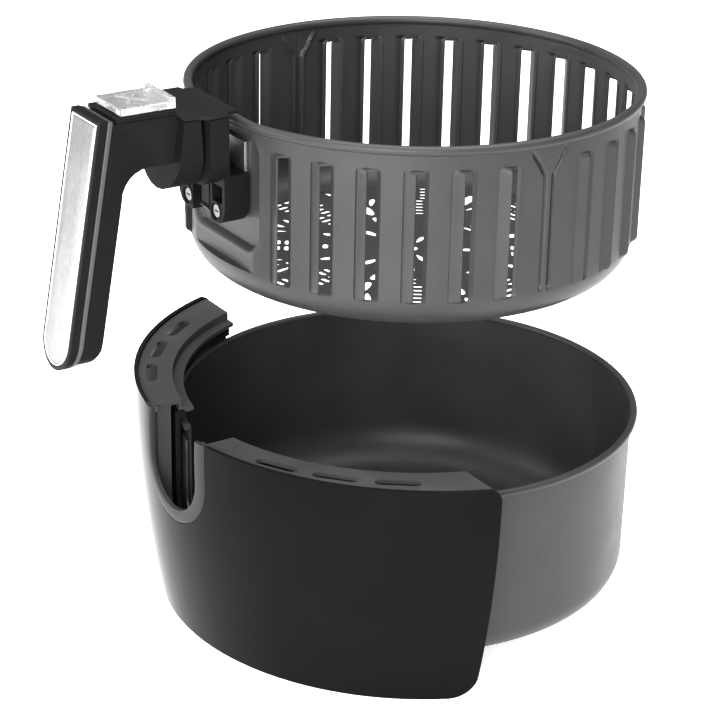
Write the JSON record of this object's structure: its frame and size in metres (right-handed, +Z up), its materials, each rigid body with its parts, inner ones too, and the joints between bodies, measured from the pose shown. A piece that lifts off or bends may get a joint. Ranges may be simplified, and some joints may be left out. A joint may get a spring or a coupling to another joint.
{
  "type": "air fryer basket drawer",
  "caption": "Drawer of a round air fryer: coated pan with a curved front panel, and a slotted lift-out basket on a handle with a release latch.",
  "frame": {"origin": "centre of the pan's flat underside", "axes": "+Z up along the pan's and the basket's common axis, -Y towards the handle and the front panel, +X to the right of someone facing away from the handle"},
  "size_m": [0.278, 0.3176, 0.2868],
  "materials": {
    "nonstick_steel": "satin dark grey non-stick coating with a fine grain",
    "bare_steel": "plain rolled sheet",
    "screw_steel": "bright plated",
    "gloss_black": "polished black moulding",
    "black_plastic": "matte black moulding with a fine grain",
    "grey_plastic": "dark grey satin moulding",
    "brushed_insert": "bright insert brushed along the grip",
    "clear_plastic": "clear plastic"
  },
  "bodies": {
    "pan": {"pan": "nonstick_steel", "pan_bracket": "bare_steel", "front_panel": "gloss_black", "notch_bezel": "grey_plastic", "panel_top_cover": "grey_plastic", "panel_frame": "black_plastic", "panel_screw_1": "screw_steel", "panel_screw_2": "screw_steel", "panel_screw_3": "screw_steel", "panel_screw_4": "screw_steel", "latch_catch": "bare_steel"},
    "basket": {"basket": "nonstick_steel", "basket_bracket": "bare_steel", "bracket_housing": "black_plastic", "bracket_screw_left": "screw_steel", "bracket_screw_right": "screw_steel", "handle_core": "black_plastic", "handle_front_cover": "black_plastic", "handle_trim_band": "grey_plastic", "handle_insert": "brushed_insert", "bracket_top_plate": "black_plastic", "handle_deck": "black_plastic", "button_spring": "screw_steel", "latch_spring": "screw_steel", "latch_pin": "bare_steel"},
    "guard": {"button_guard": "clear_plastic"},
    "button": {"release_button": "grey_plastic"},
    "lever": {"latch_lever": "black_plastic"}
  },
  "joints": [
    {"name": "basket_lift", "type": "slide", "parent": "pan", "child": "basket", "axis": [0, 0, 1], "range_m": [-0.1655, 0]},
    {"name": "guard_slide", "type": "slide", "parent": "basket", "child": "guard", "axis": [0, 1, 0], "range_m": [0, 0.022]},
    {"name": "button_press", "type": "slide", "parent": "basket", "child": "button", "axis": [0, 0, -1], "range_m": [0, 0.002], "stiffness_N_per_m": 700, "springref_m": -0.0015, "deforming": ["button_spring"]},
    {"name": "latch_turn", "type": "hinge", "parent": "basket", "child": "lever", "pos_m": [0, -0.122, 0.2585], "axis": [1, 0, 0], "range_deg": [0, 4.2]}
  ],
  "couplings": [
    {"joint": "latch_turn", "follows": "button_press", "rad_per_m": 35.7}
  ]
}
